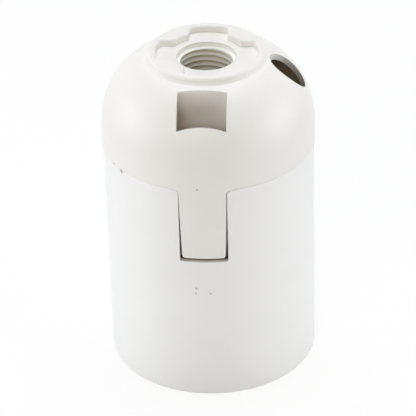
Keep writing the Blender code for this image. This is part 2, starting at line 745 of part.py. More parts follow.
casing()
cap()
lamp_sleeve()
contact_carrier()
straps()
for pole, pole_angle in (("live", 0), ("neutral", 180)):
    clamp_plate(pole + "_clamp_plate", pole_angle)
    terminal_screw(pole + "_terminal_screw", pole_angle)
for contact_name, contact_angle in rivet_places().items():
    rivet(contact_name + "_rivet", contact_angle)
centre_contact()
side_contact("side_contact_1")
side_contact("side_contact_2")
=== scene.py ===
"""Looks of the snap-together plastic lamp holder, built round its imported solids.

Lengths are in millimetres, in the frame of the solids: +Z up along the holder's axis, the latch
tongues towards -Y and +Y, and the small cable hole on the +X shoulder. Most sizes are those of the
solids. A few follow the photo more finely, such as the seam, the tongues' gaps and roots, the
windows' back, the entry's depth and the round edges.
"""
import json
import math

import bmesh
import bpy
from mathutils import Matrix, Vector

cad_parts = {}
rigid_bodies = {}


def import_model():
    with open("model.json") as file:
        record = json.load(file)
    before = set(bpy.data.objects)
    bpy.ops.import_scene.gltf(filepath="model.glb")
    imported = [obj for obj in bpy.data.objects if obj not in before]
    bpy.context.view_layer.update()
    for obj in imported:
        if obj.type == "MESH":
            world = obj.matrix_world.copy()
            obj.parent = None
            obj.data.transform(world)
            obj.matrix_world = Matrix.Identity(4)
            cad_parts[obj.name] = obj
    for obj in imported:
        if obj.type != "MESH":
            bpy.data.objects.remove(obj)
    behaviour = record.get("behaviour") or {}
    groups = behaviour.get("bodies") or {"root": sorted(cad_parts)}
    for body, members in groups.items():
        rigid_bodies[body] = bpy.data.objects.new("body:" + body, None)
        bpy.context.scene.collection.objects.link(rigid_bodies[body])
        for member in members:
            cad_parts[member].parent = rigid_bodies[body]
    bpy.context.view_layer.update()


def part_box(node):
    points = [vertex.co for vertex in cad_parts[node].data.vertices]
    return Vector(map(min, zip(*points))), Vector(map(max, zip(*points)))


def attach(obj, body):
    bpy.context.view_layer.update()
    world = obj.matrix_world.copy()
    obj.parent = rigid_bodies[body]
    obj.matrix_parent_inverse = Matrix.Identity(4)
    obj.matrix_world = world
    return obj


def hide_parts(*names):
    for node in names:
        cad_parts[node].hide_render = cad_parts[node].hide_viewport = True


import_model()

MM = 0.001

# Fineness of the meshes. Points nearer to each other than MERGE, in metres, become one
FACETS = 192
SHARP_ANGLE = math.radians(32)
MERGE = 1e-6
CORNER_STEPS = 4
THREAD_LEVELS = 20
HOLE_FACETS = 48
SMALL_FACETS = 64
SCREW_LEVELS = 8
ARM_STEPS = 8
RECESS_STEPS = 4
LIP_ANGLES = (30, 60, 85)
BUTTON_ANGLES = range(0, 90, 10)

# How far cutters reach past what they cut, and how far off its radius a point of the bore may be
OVERCUT = 1
BORE_PLAY = 0.01

# Casing and cap
CASING_WALL = 1.7
SHELF_DROP = 11.2
SHELF_THICKNESS = 1.5
SLOT_WIDTH = 8.1
SLOT_DEPTH = 13.9
SLOT_BEHIND = 0.7
SLOT_ROUND = 0.25
RIB_WIDTH = 1.2
RIB_ANGLES = (45, 135, 225, 315)
RIB_BOTTOM = 5.0
KEY_WIDTH = 2.4
KEY_HEIGHT = 1.1
KEY_ANGLES = (0, 180)
RIM_CLEARANCE = 0.6
SPIGOT_CLEARANCE = 0.4
SEAM_GAP = 0.18
RIM_ROUND = 0.12
FOOT_ROUND = 0.4
SHELF_ROUND = 0.15
INNER_ROUND = 0.1

CAP_WALL = 0.9
SPIGOT_WALL = 1.2
SHOULDER_THICKNESS = 1.5
DOME_START = 1.6
DOME_RISE = 15.55
DOME_POWER = 2.56
DOME_STEPS = 56
BOSS_RADIUS = 10.0
BOSS_STAND = 1.1
BOSS_ROUND = 0.7
BOSS_FOOT_ROUND = 0.3
BOSS_FLOOR_THICKNESS = 1.5
RECESS_DEPTH = 1.2
RECESS_RADIUS = 6.5
ARM_WIDTH = 6.65
ARM_REACH = 8.65
RECESS_CORNER = 0.42
RECESS_LIP = 0.34
ENTRY_RADIUS = 5.0
ENTRY_DEPTH = 0.8
NECK_WALL = 2.1
NECK_LENGTH = 8.0
NECK_ROUND = 0.2
NECK_CHAMFER = 0.3
WINDOW_WIDTH = 8.15
WINDOW_INSET = 2.2
WINDOW_BOSS_GAP = 1.13
WINDOW_WALL = 1.2
MOULD_ROUND = 0.15
CABLE_HOLE_BOSS_GAP = 0.6
CABLE_HOLE_EDGE_GAP = 1.7
CABLE_HOLE_DEPTH = 9.2
TONGUE_THICKNESS = 1.8
TONGUE_TOP_GAP = 0.07
TONGUE_MID_GAP = 0.2
TONGUE_SIDE_GAP = 0.43
TONGUE_CORNER = 0.6
ROOT_FLARE = 1.3
ROOT_STEP = 0.25
ROOT_DROP = 0.34
ROOT_NECK = 0.15
HOOK_REACH = 1.0
HOOK_HEIGHT = 1.3
HOOK_WIDTH = 6.0
HOOK_GAP = 0.3
HOOK_TIP = 0.4

# Fine thread of the entry, M10x1
ENTRY_PITCH = 1.0
ENTRY_CORE_RADIUS = 4.4
ENTRY_THREAD_START = 0.97
ENTRY_THREAD_FADE = 5
ENTRY_RIDGE = 0.82
ENTRY_FLANK = 0.7

# Coarse lamp thread
LAMP_PITCH = 3.629
SLEEVE_ROOM = 2.0
LAMP_THREAD_DEPTH = 1.15
LAMP_THREAD_FADE = 1.6
SLEEVE_WALL = 1.0
SLEEVE_LEAD_IN = 1.8
SLEEVE_MOUTH = 0.4
SLEEVE_ROUND = 0.2
FLANGE_THICKNESS = 1.5
CONTACT_ROOM = 8.7

# Contact carrier
CARRIER_DROP = 3.1
CARRIER_THICKNESS = 4.5
CARRIER_ROUND = 0.4
BARRIER_ROUND = 0.3
BARRIER_THICKNESS = 1.6
BARRIER_LENGTH = 19.4
GUIDE_THICKNESS = 1.2
GUIDE_WIDTH = 7.0
GUIDE_HEIGHT = 5.0
STOP_RADIUS = 2.0
STOP_HEIGHT = 1.4
SCREW_WELL_FLOOR = 1.2
HOLE_PLAY = 0.3
SPIGOT_GAP = 0.3

# Terminals
TERMINAL_INSET = 6.4
STRAP_WIDTH = 4.6
TERMINAL_ANGLES = {"live": 0, "neutral": 180}
STRAP_SPANS = {"live": (-57, 22), "neutral": (123, 237)}
STRAP_CORNER_POINTS = 6
EDGE_ROUND = 0.12
STAMPED_ROUND = 0.5
SCREW_RADIUS = 1.5
SCREW_PITCH = 0.5
SCREW_THREAD_DEPTH = 0.3
SCREW_NECK = 0.4
SCREW_POINT = 0.5
SCREW_POINT_SHARE = 0.8
SCREW_HEAD_RADIUS = 2.9
SCREW_HEAD_HEIGHT = 2.0
SCREW_HEAD_ROUND = 0.4
SCREW_SLOT_WIDTH = 0.8
SCREW_SLOT_DEPTH = 1.0
PLATE_LENGTH = 5.2
PLATE_WIDTH = 6.0
RIVET_RADIUS = 1.2
RIVET_HEAD_RADIUS = 1.7
RIVET_HEAD_HEIGHT = 0.6
RIVET_ANGLES = {"centre_contact": -45, "side_contact_1": 135, "side_contact_2": 225}

# Spring contacts
LEAF_THICKNESS = 0.5
LEAF_WIDTH = 4.5
LEAF_GAP = 0.3
BEND_ROUND = 0.7
TAB_HALF = 2.1
CENTRE_DROP = 2.45
CENTRE_HALF = 2.0
CENTRE_TAIL = (1.0, 0.6)
BUTTON_RADIUS = 1.3
BUTTON_DROP = 0.6
SIDE_LEG_INSET = 1.3
SIDE_LEG_DROP = 6.4
SIDE_FOOT_REACH = 1.5
SIDE_FOOT_DEPTH = 0.95
SIDE_CURL_DEPTH = 0.5

# Sizes that the frame gives
casing_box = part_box("casing")
cap_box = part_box("cap")
casing_radius = casing_box[1].x / MM
casing_height = casing_box[1].z / MM
cap_radius = cap_box[1].x / MM
tongue_bottom = cap_box[0].z / MM

# Sizes that follow
casing_inner = casing_radius - CASING_WALL
slot_bottom = casing_height - SLOT_DEPTH
shelf_bottom = casing_height - SHELF_DROP
shelf_top = shelf_bottom + SHELF_THICKNESS
sleeve_outer = casing_inner - SLEEVE_ROOM
lamp_major_radius = sleeve_outer - SLEEVE_WALL
shelf_inner = sleeve_outer + RIM_CLEARANCE
rim_radius = casing_inner - RIM_CLEARANCE
carrier_top = casing_height - CARRIER_DROP
carrier_bottom = carrier_top - CARRIER_THICKNESS
terminal_circle = rim_radius - TERMINAL_INSET
tab_middle = carrier_bottom - LEAF_GAP - LEAF_THICKNESS / 2
cap_bottom = casing_height + SEAM_GAP
spigot_outer = casing_inner - SPIGOT_CLEARANCE
spigot_inner = spigot_outer - SPIGOT_WALL
spigot_bottom = carrier_top + SPIGOT_GAP
dome_base = casing_height + DOME_START
window_front = cap_radius - WINDOW_INSET
window_back = BOSS_RADIUS + WINDOW_BOSS_GAP
cable_hole_inner = BOSS_RADIUS + CABLE_HOLE_BOSS_GAP
cable_hole_outer = cap_radius - CABLE_HOLE_EDGE_GAP
cable_hole_radius = (cable_hole_outer - cable_hole_inner) / 2
cable_hole_middle = cable_hole_inner + cable_hole_radius
tongue_inner = cap_radius - TONGUE_THICKNESS


def both_sides(near, far):
    """A span on the side of +Y and the same span on the side of -Y."""
    return (near, far), (-far, -near)


def heights(name):
    """Bottom and top of a solid."""
    return [corner.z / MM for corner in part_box(name)]


def dome_radius(height, wall):
    """Radius of the dome's inner surface at a height."""
    share = max(height - dome_base, 0.0) / (DOME_RISE - wall)
    return (cap_radius - wall) * (1 - share ** DOME_POWER) ** (1 / DOME_POWER)


boss_foot = dome_base + DOME_RISE * (1 - (BOSS_RADIUS / cap_radius) ** DOME_POWER) ** (1 / DOME_POWER)
boss_top = boss_foot + BOSS_STAND
recess_floor = boss_top - RECESS_DEPTH
neck_bottom = recess_floor - NECK_LENGTH
entry_floor = recess_floor - ENTRY_DEPTH


# Outlines

def arc(radius, start, end, steps, centre=(0.0, 0.0)):
    """Points on an arc, with both ends, from one angle to another in degrees."""
    points = []
    for step in range(steps + 1):
        angle = math.radians(start + (end - start) * step / steps)
        points.append((centre[0] + radius * math.cos(angle), centre[1] + radius * math.sin(angle)))
    return points


def rounded(corners):
    """Closed outline from (x, y) corners, and from (x, y, radius) ones, which turn into arcs."""
    outline = []
    for index, (x, y, *round_by) in enumerate(corners):
        here = Vector((x, y))
        radius = sum(round_by)
        if radius == 0:
            outline.append((x, y))
            continue
        before = (Vector(corners[index - 1][:2]) - here).normalized()
        after = (Vector(corners[(index + 1) % len(corners)][:2]) - here).normalized()
        half = before.angle(after) / 2
        centre = here + (before + after).normalized() * radius / math.sin(half)
        start = here + before * radius / math.tan(half) - centre
        end = here + after * radius / math.tan(half) - centre
        first = math.atan2(start.y, start.x)
        sweep = math.remainder(math.atan2(end.y, end.x) - first, math.tau)
        for step in range(CORNER_STEPS + 1):
            angle = first + sweep * step / CORNER_STEPS
            outline.append((centre.x + radius * math.cos(angle), centre.y + radius * math.sin(angle)))
    return outline


def rectangle(low_x, low_y, high_x, high_y, corner):
    """Outline of a rectangle with round corners."""
    return rounded([(low_x, low_y, corner), (high_x, low_y, corner), (high_x, high_y, corner),
                    (low_x, high_y, corner)])


def mirrored(edge):
    """Outline from one half of it and that half's mirror image across the second axis."""
    return rounded(edge + [(-x, *rest) for x, *rest in edge[::-1]])


def widened(outline, amount):
    """A counter-clockwise outline moved outward by an amount."""
    moved = []
    for index, point in enumerate(outline):
        before = Vector(point) - Vector(outline[index - 1])
        after = Vector(outline[(index + 1) % len(outline)]) - Vector(point)
        normals = [Vector((edge.y, -edge.x)).normalized() for edge in (before, after)]
        middle = (normals[0] + normals[1]).normalized()
        shift = middle * amount / max(middle.dot(normals[0]), 0.5)
        moved.append((point[0] + shift.x, point[1] + shift.y))
    return moved


# Meshes and booleans

workshop = bpy.data.collections.new("cutters")
bpy.context.scene.collection.children.link(workshop)


def in_metres(points):
    """Points in millimetres as points in metres."""
    return [(x * MM, y * MM, z * MM) for x, y, z in points]


def close_mesh(shape, mesh):
    """Merge the points of a shape that meet, point its faces out, and make it the mesh."""
    bmesh.ops.remove_doubles(shape, verts=shape.verts, dist=MERGE)
    bmesh.ops.recalc_face_normals(shape, faces=shape.faces)
    shape.to_mesh(mesh)
    shape.free()


def made_from(name, points, faces):
    """New object in the workshop, from points in millimetres and faces."""
    mesh = bpy.data.meshes.new(name)
    mesh.from_pydata(in_metres(points), [], faces)
    shape = bmesh.new()
    shape.from_mesh(mesh)
    close_mesh(shape, mesh)
    item = bpy.data.objects.new(name, mesh)
    workshop.objects.link(item)
    return item


def wall_faces(rows, count, closed=False):
    """Faces between rows of points, each row a loop with the same count of them."""
    faces = []
    for row in range(rows if closed else rows - 1):
        this, following = row * count, (row + 1) % rows * count
        for step in range(count):
            after = (step + 1) % count
            faces.append((this + step, this + after, following + after, following + step))
    return faces


def ring_points(ring, facets):
    """Points of a ring: a fixed (radius, height) pair, or a function that gives one for an angle."""
    points = []
    for step in range(facets):
        angle = math.tau * step / facets
        radius, height = ring(angle) if callable(ring) else ring
        points.append((radius * math.cos(angle), radius * math.sin(angle), height))
    return points


def turned(name, rings, facets=FACETS, closed=True):
    """Solid through rings about Z. An open one starts and ends in a point on the axis."""
    points = []
    for ring in rings:
        points += ring_points(ring, facets)
    return made_from(name, points, wall_faces(len(rings), facets, closed))


def stacked(name, layers, plane="XY"):
    """Solid through flat outlines, each with its height off the plane and as many points."""
    count = len(layers[0][0])
    points = []
    for outline, height in layers:
        for x, y in outline:
            points.append((x, y, height) if plane == "XY" else (x, height, y))
    ends = [tuple(range(count)), tuple(range(len(points) - count, len(points)))]
    return made_from(name, points, ends + wall_faces(len(layers), count))


def box(name, low, high):
    """Block between two corners."""
    outline = rectangle(*low[:2], *high[:2], 0)
    return stacked(name, [(outline, low[2]), (outline, high[2])])


def drill(item, middle, radius, low, high, facets=HOLE_FACETS):
    """Cut a round upright hole."""
    outline = arc(radius, 0, 360, facets, middle)[:-1]
    cut(item, stacked("drill", [(outline, low), (outline, high)]))


def bar(name, near, far, width, low, high):
    """Block along the X axis and centred on it."""
    return box(name, (near, -width / 2, low), (far, width / 2, high))


def turn_to(item, degrees):
    """Swing a tool about the holder's axis."""
    item.data.transform(Matrix.Rotation(math.radians(degrees), 4, "Z"))
    return item


def combine(item, tool, operation):
    """Change a mesh by a boolean with another, at once."""
    change = item.modifiers.new("change", "BOOLEAN")
    change.operation = operation
    change.solver = "EXACT"
    change.object = tool
    graph = bpy.context.evaluated_depsgraph_get()
    result = bpy.data.meshes.new_from_object(item.evaluated_get(graph), depsgraph=graph)
    item.modifiers.clear()
    item.data = result


def cut(item, tool):
    """Take a tool's volume away from a form."""
    combine(item, tool, "DIFFERENCE")


def join(item, tool):
    """Add a tool's volume to a form."""
    combine(item, tool, "UNION")


def cut_key_notches(item, low, high):
    """Cut the two notches that the casing's keys stand in."""
    near, far = casing_inner - KEY_HEIGHT - HOOK_GAP, casing_inner + OVERCUT
    for angle in KEY_ANGLES:
        notch = bar("key_notch", near, far, KEY_WIDTH + 2 * HOOK_GAP, low - OVERCUT, high + OVERCUT)
        cut(item, turn_to(notch, angle))


def show(item, body, slot, material, *replaced):
    """Make a finished form a piece of the holder: shaded, with its material, riding on its body."""
    item.data.shade_smooth()
    item.data.set_sharp_from_angle(angle=SHARP_ANGLE)
    item.data.materials.clear()
    item.data.materials.append(material)
    workshop.objects.unlink(item)
    bpy.context.scene.collection.objects.link(item)
    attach(item, body)
    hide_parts(*replaced)


# Casing

def casing_form():
    """Plain skirt with an inner shelf, centring ribs, two keys and two open-topped latch slots."""
    outline = rounded([
        (casing_radius, casing_height, RIM_ROUND), (casing_radius, 0.0, FOOT_ROUND),
        (casing_inner, 0.0, FOOT_ROUND), (casing_inner, shelf_bottom, INNER_ROUND),
        (shelf_inner, shelf_bottom, SHELF_ROUND), (shelf_inner, shelf_top, SHELF_ROUND),
        (casing_inner, shelf_top, INNER_ROUND), (casing_inner, casing_height, RIM_ROUND),
    ])
    item = turned("casing_fine", outline)
    in_wall = casing_inner + CASING_WALL / 2
    in_shelf = shelf_bottom + SHELF_THICKNESS / 2
    for angle in RIB_ANGLES:
        join(item, turn_to(bar("rib", shelf_inner, in_wall, RIB_WIDTH, RIB_BOTTOM, in_shelf), angle))
    for angle in KEY_ANGLES:
        key = bar("key", casing_inner - KEY_HEIGHT, in_wall, KEY_WIDTH, in_shelf, carrier_top - HOOK_GAP)
        join(item, turn_to(key, angle))
    half = SLOT_WIDTH / 2
    step = casing_height - ROOT_DROP
    flared = half + ROOT_FLARE
    opening = mirrored([(half, slot_bottom, SLOT_ROUND), (half, step - ROOT_NECK), (half + ROOT_STEP, step),
                        (flared, casing_height), (flared, casing_height + OVERCUT)])
    for near, far in both_sides(casing_inner - SLOT_BEHIND, casing_radius + OVERCUT):
        cut(item, stacked("slot", [(opening, near), (opening, far)], "XZ"))
    return item


# Cap

def dome_points(wall, low_radius, high_radius, steps):
    """Points up the dome from a wide radius to a narrow one, evenly spread along its curve."""
    start = (high_radius / (cap_radius - wall)) ** (DOME_POWER / 2)
    end = (low_radius / (cap_radius - wall)) ** (DOME_POWER / 2)
    first = math.acos(min(start, 1.0))
    last = math.acos(end)
    points = []
    for step in range(steps + 1):
        angle = first + (last - first) * step / steps
        radius = (cap_radius - wall) * math.cos(angle) ** (2 / DOME_POWER)
        height = dome_base + (DOME_RISE - wall) * math.sin(angle) ** (2 / DOME_POWER)
        points.append((radius, height))
    return points


def bore_ends():
    """The two rings between which the entry's bore is plain until its thread is set in."""
    top = entry_floor - (ENTRY_RADIUS - ENTRY_CORE_RADIUS) / 4
    return (ENTRY_CORE_RADIUS, top), (ENTRY_CORE_RADIUS, neck_bottom + NECK_CHAMFER)


def cap_shell():
    """Dome, boss, neck and spigot as one turned wall, with the tongues still a full ring."""
    outer = dome_points(0.0, BOSS_RADIUS, cap_radius, DOME_STEPS)
    under_boss = recess_floor - BOSS_FLOOR_THICKNESS
    inner = dome_points(CAP_WALL, dome_radius(under_boss, CAP_WALL), cap_radius - CAP_WALL,
                        DOME_STEPS // 2)
    shoulder = cap_bottom + SHOULDER_THICKNESS
    neck_outer = ENTRY_CORE_RADIUS + NECK_WALL
    thread_top, thread_end = bore_ends()
    corners = [
        thread_end, thread_top, (ENTRY_RADIUS, entry_floor), (ENTRY_RADIUS, boss_top),
        (BOSS_RADIUS, boss_top, BOSS_ROUND), (BOSS_RADIUS, boss_foot + BOSS_FOOT_ROUND),
        *outer[::-1][1:],
        (cap_radius, tongue_bottom, MOULD_ROUND), (tongue_inner, tongue_bottom, MOULD_ROUND),
        (tongue_inner, spigot_bottom), (spigot_inner, spigot_bottom), (spigot_inner, shoulder),
        (dome_radius(shoulder, CAP_WALL), shoulder),
        *[point for point in inner if point[1] > shoulder + NECK_ROUND],
        (neck_outer, under_boss), (neck_outer, neck_bottom, NECK_ROUND),
        (ENTRY_CORE_RADIUS + NECK_CHAMFER, neck_bottom),
    ]
    return turned("cap_fine", rounded(corners))


def tongue_outline():
    """Front view of a latch tongue: flared at its root, it narrows to round corners at its free end."""
    half = SLOT_WIDTH / 2
    root = cap_bottom + SHOULDER_THICKNESS
    step = cap_bottom - ROOT_DROP
    flared = half + ROOT_FLARE
    return mirrored([(flared, root), (flared, cap_bottom), (half + ROOT_STEP, step),
                     (half - TONGUE_TOP_GAP, step - ROOT_NECK),
                     (half - TONGUE_MID_GAP, (casing_height + tongue_bottom) / 2),
                     (half - TONGUE_SIDE_GAP, tongue_bottom, TONGUE_CORNER)])


def around_tongues():
    """Everything outside the spigot and below the cap's edge, except the two latch tongues."""
    low = tongue_bottom - OVERCUT
    far = cap_radius + OVERCUT
    rings = [(far, cap_bottom), (far, low), (spigot_outer, low), (spigot_outer, cap_bottom)]
    waste = turned("around_tongues", rings)
    outline = tongue_outline()
    cut(waste, stacked("tongues", [(outline, -far - OVERCUT), (outline, far + OVERCUT)], "XZ"))
    return waste


def cap_core():
    """Solid that lies half way into the cap's wall, to trim what is joined inside it."""
    depth = CAP_WALL / 2
    crown = dome_points(depth, BOSS_RADIUS, cap_radius - depth, DOME_STEPS)
    inside_spigot = spigot_outer - SPIGOT_WALL / 2
    shaft_bottom = spigot_bottom + HOOK_GAP
    rings = [(0.0, crown[-1][1])] + crown[::-1]
    rings += [(cap_radius - depth, cap_bottom + depth), (inside_spigot, cap_bottom + depth)]
    rings += [(inside_spigot, shaft_bottom), (0.0, shaft_bottom)]
    return turned("cap_core", rings, closed=False)


def cross_outline():
    """Round recess with four arms that end on an arc, its corners a little round."""
    tip = math.degrees(math.asin(ARM_WIDTH / 2 / ARM_REACH))
    root = math.degrees(math.asin(ARM_WIDTH / 2 / RECESS_RADIUS))
    corners = []
    for quarter in (0, 90, 180, 270):
        for points in (arc(ARM_REACH, quarter - tip, quarter + tip, ARM_STEPS),
                       arc(RECESS_RADIUS, quarter + root, quarter + 90 - root, RECESS_STEPS)):
            ends = (points[0], points[-1])
            corners += [(*point, RECESS_CORNER if point in ends else 0) for point in points]
    return rounded(corners)


def cross_cutter():
    """Tool for the cross recess, with a flared mouth that leaves a round lip on the boss."""
    outline = cross_outline()
    layers = [(outline, recess_floor), (outline, boss_top - RECESS_LIP)]
    for degrees in LIP_ANGLES:
        angle = math.radians(degrees)
        layers.append((widened(outline, RECESS_LIP * (1 - math.cos(angle))),
                       boss_top - RECESS_LIP + RECESS_LIP * math.sin(angle)))
    layers.append((widened(outline, RECESS_LIP), boss_top + OVERCUT))
    return stacked("cross", layers)


def latch_hook(side):
    """Catch that snaps under the casing's shelf: flat on top, sloping below."""
    top = shelf_bottom - HOOK_GAP
    inner = window_front - HOOK_REACH
    outer = tongue_inner + TONGUE_THICKNESS / 3
    profile = [(inner, top), (outer, top), (outer, top - HOOK_HEIGHT), (window_front, top - HOOK_HEIGHT),
               (inner, top - HOOK_HEIGHT * HOOK_TIP)]
    hook = stacked("hook", [(profile, -HOOK_WIDTH / 2), (profile, HOOK_WIDTH / 2)], "XZ")
    return turn_to(hook, side * 90)


def entry_thread_radius(angle, height):
    """Inner radius of the fine thread: flat-topped ridges with sloping flanks."""
    phase = (height / ENTRY_PITCH - angle / math.tau - ENTRY_THREAD_START) % 1.0
    from_crest = abs(phase - 0.5) * 2
    ridge = min(max((ENTRY_RIDGE - from_crest) / ENTRY_FLANK, 0.0), 1.0)
    return ENTRY_RADIUS - (ENTRY_RADIUS - ENTRY_CORE_RADIUS) * ridge


def set_in_thread(item):
    """Swap the plain bore of the neck for the fine thread, on the same end rings."""
    (radius, top), (radius, bottom) = bore_ends()
    shape = bmesh.new()
    shape.from_mesh(item.data)
    plain = [face for face in shape.faces
             if all(math.hypot(v.co.x, v.co.y) < (radius + BORE_PLAY) * MM for v in face.verts)]
    bmesh.ops.delete(shape, geom=plain, context="FACES")
    levels = round((top - bottom) / ENTRY_PITCH * THREAD_LEVELS)
    rings = []
    for level in range(levels + 1):
        height = top + (bottom - top) * level / levels
        fade = min(level, levels - level, ENTRY_THREAD_FADE) / ENTRY_THREAD_FADE
        rings.append(lambda angle, height=height, fade=fade:
                     (radius + (entry_thread_radius(angle, height) - radius) * fade, height))
    verts = []
    for ring in rings:
        verts += [shape.verts.new(point) for point in in_metres(ring_points(ring, FACETS))]
    for face in wall_faces(len(rings), FACETS):
        shape.faces.new([verts[index] for index in face])
    close_mesh(shape, item.data)


def cap_form():
    """Domed cover with its boss, cross recess, threaded neck, windows, cable hole and tongues."""
    item = cap_shell()
    cut(item, around_tongues())
    core = cap_core()
    half = WINDOW_WIDTH / 2
    outer = half + WINDOW_WALL
    for near, far in both_sides(window_back - WINDOW_WALL, cap_radius - CAP_WALL / 4):
        shaft = box("window_shaft", (-outer, near, spigot_bottom), (outer, far, boss_top))
        combine(shaft, core, "INTERSECT")
        join(item, shaft)
    for near, far in both_sides(window_back, window_front):
        window = rectangle(-half, near, half, far, MOULD_ROUND)
        cut(item, stacked("window", [(window, spigot_bottom - OVERCUT), (window, boss_top + OVERCUT)]))
    for side in (1, -1):
        join(item, latch_hook(side))
    cut(item, cross_cutter())
    drill(item, (cable_hole_middle, 0.0), cable_hole_radius, boss_top - CABLE_HOLE_DEPTH,
          boss_top + OVERCUT, SMALL_FACETS)
    set_in_thread(item)
    return item


# Lamp sleeve

def lamp_thread_radius(angle, height, thread_bottom, thread_top):
    """Inner radius of the sleeve: a round-crested wave along the helix, fading at both ends."""
    phase = height / LAMP_PITCH - angle / math.tau
    wave = (1 - math.cos(math.tau * phase)) / 2
    near_end = min(height - thread_bottom, thread_top - height)
    fade = min(max(near_end / LAMP_THREAD_FADE, 0.0), 1.0)
    return lamp_major_radius - LAMP_THREAD_DEPTH * wave * fade


def sleeve_form():
    """Flanged sleeve with the coarse lamp thread inside."""
    bottom, flange_top = heights("lamp_sleeve")
    flange_bottom = flange_top - FLANGE_THICKNESS
    thread_bottom = bottom + SLEEVE_LEAD_IN
    thread_top = flange_top - CONTACT_ROOM
    mouth = lamp_major_radius + SLEEVE_WALL * SLEEVE_MOUTH
    rings = rounded([
        (lamp_major_radius, flange_top, SLEEVE_ROUND), (rim_radius, flange_top, SLEEVE_ROUND),
        (rim_radius, flange_bottom, SLEEVE_ROUND), (sleeve_outer, flange_bottom, SLEEVE_ROUND),
        (sleeve_outer, bottom, MOULD_ROUND), (mouth, bottom, MOULD_ROUND),
        (lamp_major_radius, thread_bottom), (lamp_major_radius, thread_top),
    ])[:-2]
    levels = round((thread_top - thread_bottom) / LAMP_PITCH * THREAD_LEVELS)
    for level in range(levels + 1):
        height = thread_bottom + (thread_top - thread_bottom) * level / levels
        rings.append(lambda angle, height=height:
                     (lamp_thread_radius(angle, height, thread_bottom, thread_top), height))
    item = turned("lamp_sleeve_fine", rings)
    cut_key_notches(item, flange_bottom, flange_top)
    return item


# Contact carrier, straps, plates, screws and rivets

def on_circle(degrees):
    """Place on the circle that the terminals and rivets stand on."""
    angle = math.radians(degrees)
    return (terminal_circle * math.cos(angle), terminal_circle * math.sin(angle))


def drill_through(item, degrees, radius, low, high):
    """Round hole on the terminals' circle, through a form that reaches from low to high."""
    drill(item, on_circle(degrees), radius, low - OVERCUT, high + OVERCUT)


def carrier_form():
    """Round base with its lamp stop, pole barrier and wire guides, drilled for screws and rivets."""
    stop_bottom = carrier_bottom - STOP_HEIGHT
    outline = rounded([(0, carrier_top), (rim_radius, carrier_top, CARRIER_ROUND),
                       (rim_radius, carrier_bottom, SLEEVE_ROUND), (STOP_RADIUS, carrier_bottom),
                       (STOP_RADIUS, stop_bottom, BARRIER_ROUND), (0, stop_bottom)])
    item = turned("contact_carrier_fine", outline, closed=False)
    root = carrier_top - CARRIER_THICKNESS / 2
    x, y = BARRIER_THICKNESS / 2, BARRIER_LENGTH / 2
    barrier = rectangle(-x, -y, x, y, BARRIER_ROUND)
    join(item, stacked("barrier", plate_layers(barrier, root, heights("contact_carrier")[1])))
    inner = terminal_circle + PLATE_LENGTH / 2 + HOLE_PLAY
    guide = rectangle(inner, -GUIDE_WIDTH / 2, inner + GUIDE_THICKNESS, GUIDE_WIDTH / 2, BARRIER_ROUND)
    for angle in TERMINAL_ANGLES.values():
        join(item, turn_to(stacked("guide", plate_layers(guide, root, carrier_top + GUIDE_HEIGHT)), angle))
        drill(item, on_circle(angle), SCREW_RADIUS + 2 * HOLE_PLAY, carrier_bottom + SCREW_WELL_FLOOR,
              carrier_top + OVERCUT)
    cut_key_notches(item, carrier_bottom, carrier_top)
    for angle in RIVET_ANGLES.values():
        drill_through(item, angle, RIVET_RADIUS + HOLE_PLAY, carrier_bottom, carrier_top)
    return item


def plate_layers(outline, low, high):
    """Layers of a flat piece whose edges are a little round."""
    slim = widened(outline, -EDGE_ROUND)
    return [(slim, low), (outline, low + EDGE_ROUND), (outline, high - EDGE_ROUND), (slim, high)]


def strap_form(pole):
    """Flat brass strap on a part of a ring, with holes for its screw and its rivets."""
    low, high = heights(pole + "_strap")
    start, end = STRAP_SPANS[pole]
    wide = arc(terminal_circle + STRAP_WIDTH / 2, start, end, end - start)
    narrow = arc(terminal_circle - STRAP_WIDTH / 2, end, start, end - start)
    ends = (wide[0], wide[-1], narrow[0], narrow[-1])
    points = trimmed(wide) + trimmed(narrow)
    outline = rounded([(*point, STAMPED_ROUND if point in ends else 0) for point in points])
    item = stacked(pole + "_strap_fine", plate_layers(outline, low, high))
    drill_through(item, TERMINAL_ANGLES[pole], SCREW_RADIUS + HOLE_PLAY, low, high)
    for angle in RIVET_ANGLES.values():
        if start < angle < end:
            drill_through(item, angle, RIVET_RADIUS + HOLE_PLAY, low, high)
    return item


def trimmed(points):
    """An arc's points without those so near its ends that they would meet a round corner."""
    return [points[0]] + points[STRAP_CORNER_POINTS:-STRAP_CORNER_POINTS] + [points[-1]]


def plate_form(pole):
    """Pressure plate with round corners and its screw's hole."""
    low, high = heights(pole + "_clamp_plate")
    x, y = PLATE_LENGTH / 2, PLATE_WIDTH / 2
    outline = rectangle(terminal_circle - x, -y, terminal_circle + x, y, STAMPED_ROUND)
    item = stacked(pole + "_clamp_plate_fine", plate_layers(outline, low, high))
    drill_through(item, 0, SCREW_RADIUS + HOLE_PLAY, low, high)
    return turn_to(item, TERMINAL_ANGLES[pole])


def screw_thread_radius(angle, height):
    """Outer radius of a terminal screw's thread: a sharp ridge along the helix."""
    phase = (height / SCREW_PITCH - angle / math.tau) % 1.0
    return SCREW_RADIUS - SCREW_THREAD_DEPTH * abs(phase - 0.5) * 2


